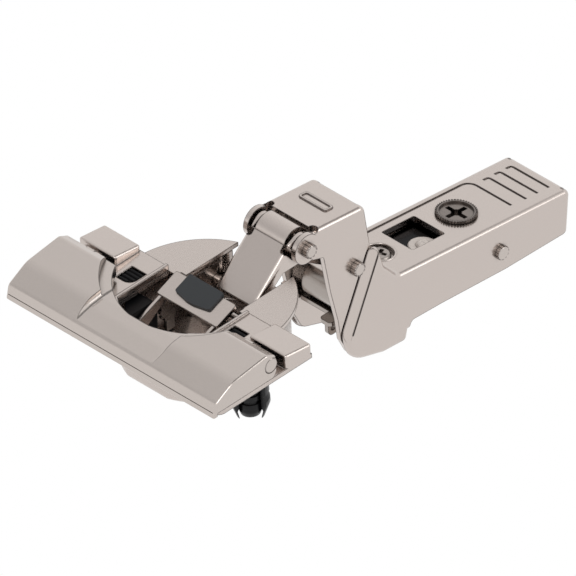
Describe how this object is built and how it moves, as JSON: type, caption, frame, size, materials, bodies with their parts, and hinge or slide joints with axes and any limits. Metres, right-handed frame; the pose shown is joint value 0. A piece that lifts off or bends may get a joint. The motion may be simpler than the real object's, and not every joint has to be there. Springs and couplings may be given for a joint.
{
  "type": "concealed cup hinge",
  "caption": "Clip-on concealed cup hinge with a cranked head, a folded arm, adjusting screws, a flip-up cover over expanding dowels and a soft-close switch.",
  "frame": {"origin": "on the cup's axis, in the door's face (underside of the flange disc and of the base plate)", "axes": "+Z leaves the door along the cup's axis, +X runs from the cup towards the arm, Y is parallel to the hinge pins; the door is fully open at rest"},
  "size_m": [0.1215, 0.0592, 0.0402],
  "materials": {
    "nickel_steel": "nickel-plated pressed steel, satin",
    "dark_nickel": "darker satin nickel plate",
    "pin_steel": "turned and plated steel pin",
    "spring_steel": "bright spring steel",
    "cast_zinc": "nickel-plated die casting",
    "black_plastic": "black moulded plastic",
    "grey_plastic": "dark grey moulded plastic"
  },
  "bodies": {
    "cup_assembly": {"cup": "nickel_steel", "base_plate": "nickel_steel", "plate_pad_left": "black_plastic", "plate_pad_right": "black_plastic", "dowel_left": "black_plastic", "dowel_right": "black_plastic", "cup_pin_outer": "pin_steel", "cup_pin_inner": "pin_steel", "bridge_pin": "pin_steel", "damper_housing": "black_plastic", "damper_washer": "grey_plastic"},
    "cover": {"cover_lever": "nickel_steel", "lever_pin_left": "pin_steel", "lever_pin_right": "pin_steel"},
    "spreaders": {"spreader_left": "black_plastic", "spreader_right": "black_plastic"},
    "outer_link": {"channel_link": "nickel_steel"},
    "crossing_link": {"inner_link": "nickel_steel"},
    "bridge": {"bridge_plate": "nickel_steel"},
    "switch": {"damper_switch": "grey_plastic"},
    "plunger": {"damper_plunger": "pin_steel"},
    "head": {"arm_head": "nickel_steel", "head_pin_outer": "pin_steel", "head_pin_inner": "pin_steel", "closing_spring": "spring_steel", "spring_anchor": "spring_steel"},
    "arm_body": {"arm": "nickel_steel", "arm_pin": "pin_steel", "latch_pin": "pin_steel", "latch_spring": "spring_steel"},
    "side_adjuster": {"side_screw": "cast_zinc"},
    "depth_cam": {"cam_screw": "cast_zinc"},
    "carriage": {"clip_carriage": "nickel_steel"},
    "latch": {"latch_lever": "nickel_steel"}
  },
  "joints": [
    {"name": "outer_link_fold", "type": "hinge", "parent": "cup_assembly", "child": "outer_link", "pos_m": [0.0084, 0, -0.00855], "axis": [0, 1, 0], "range_deg": [-106, 0]},
    {"name": "head_fold", "type": "hinge", "parent": "outer_link", "child": "head", "pos_m": [0.0224, 0, 0.004], "axis": [0, 1, 0], "range_deg": [0, 9.32]},
    {"name": "inner_link_fold", "type": "hinge", "parent": "cup_assembly", "child": "crossing_link", "pos_m": [0.0124, 0, -0.006], "axis": [0, 1, 0], "range_deg": [-119.6, 0]},
    {"name": "bridge_press", "type": "hinge", "parent": "cup_assembly", "child": "bridge", "pos_m": [-0.012, 0, -0.005], "axis": [0, 1, 0], "range_deg": [0, 48.1]},
    {"name": "cover_flip", "type": "hinge", "parent": "cup_assembly", "child": "cover", "pos_m": [-0.00995, 0, 0.0046], "axis": [0, 1, 0], "range_deg": [0, 65]},
    {"name": "spreader_slide", "type": "slide", "parent": "cup_assembly", "child": "spreaders", "axis": [0, 0, -1], "range_m": [0, 0.00151]},
    {"name": "side_screw_turn", "type": "hinge", "parent": "arm_body", "child": "side_adjuster", "pos_m": [0.04938, 0, -0.01592], "axis": [0.1167, 0, 0.9932], "range_deg": [-357, 357]},
    {"name": "side_tilt", "type": "hinge", "parent": "head", "child": "arm_body", "pos_m": [0.0748, 0, -0.0254], "axis": [0, 1, 0], "range_deg": [-1.5, 1.5]},
    {"name": "cam_turn", "type": "hinge", "parent": "arm_body", "child": "depth_cam", "pos_m": [0.07133, 0, -0.0185], "axis": [0.1167, 0, 0.9932], "range_deg": [-90.5, 90.5]},
    {"name": "carriage_slide", "type": "slide", "parent": "arm_body", "child": "carriage", "axis": [0.9932, 0, -0.1167], "range_m": [-0.002, 0.002]},
    {"name": "latch_swing", "type": "hinge", "parent": "arm_body", "child": "latch", "pos_m": [0.08814, 0, -0.02626], "axis": [0, 1, 0], "range_deg": [0, 12], "stiffness_Nm_per_rad": 0.01, "springref_deg": -11.46},
    {"name": "switch_slide", "type": "slide", "parent": "bridge", "child": "switch", "axis": [0, 1, 0], "range_m": [-0.002, 0]},
    {"name": "plunger_slide", "type": "slide", "parent": "cup_assembly", "child": "plunger", "axis": [1, 0, 0], "range_m": [-0.0015, 0], "stiffness_N_per_m": 150, "springref_m": 0.0005}
  ],
  "couplings": [
    {"joint": "head_fold", "follows": "outer_link_fold", "ratio": -0.08774},
    {"joint": "inner_link_fold", "follows": "outer_link_fold", "ratio": 1.1274},
    {"joint": "bridge_press", "follows": "outer_link_fold", "ratio": -0.4528},
    {"joint": "spreader_slide", "follows": "cover_flip", "m_per_rad": 0.0013222},
    {"joint": "side_screw_turn", "follows": "side_tilt", "ratio": 236.5},
    {"joint": "cam_turn", "follows": "carriage_slide", "rad_per_m": -785.4}
  ]
}
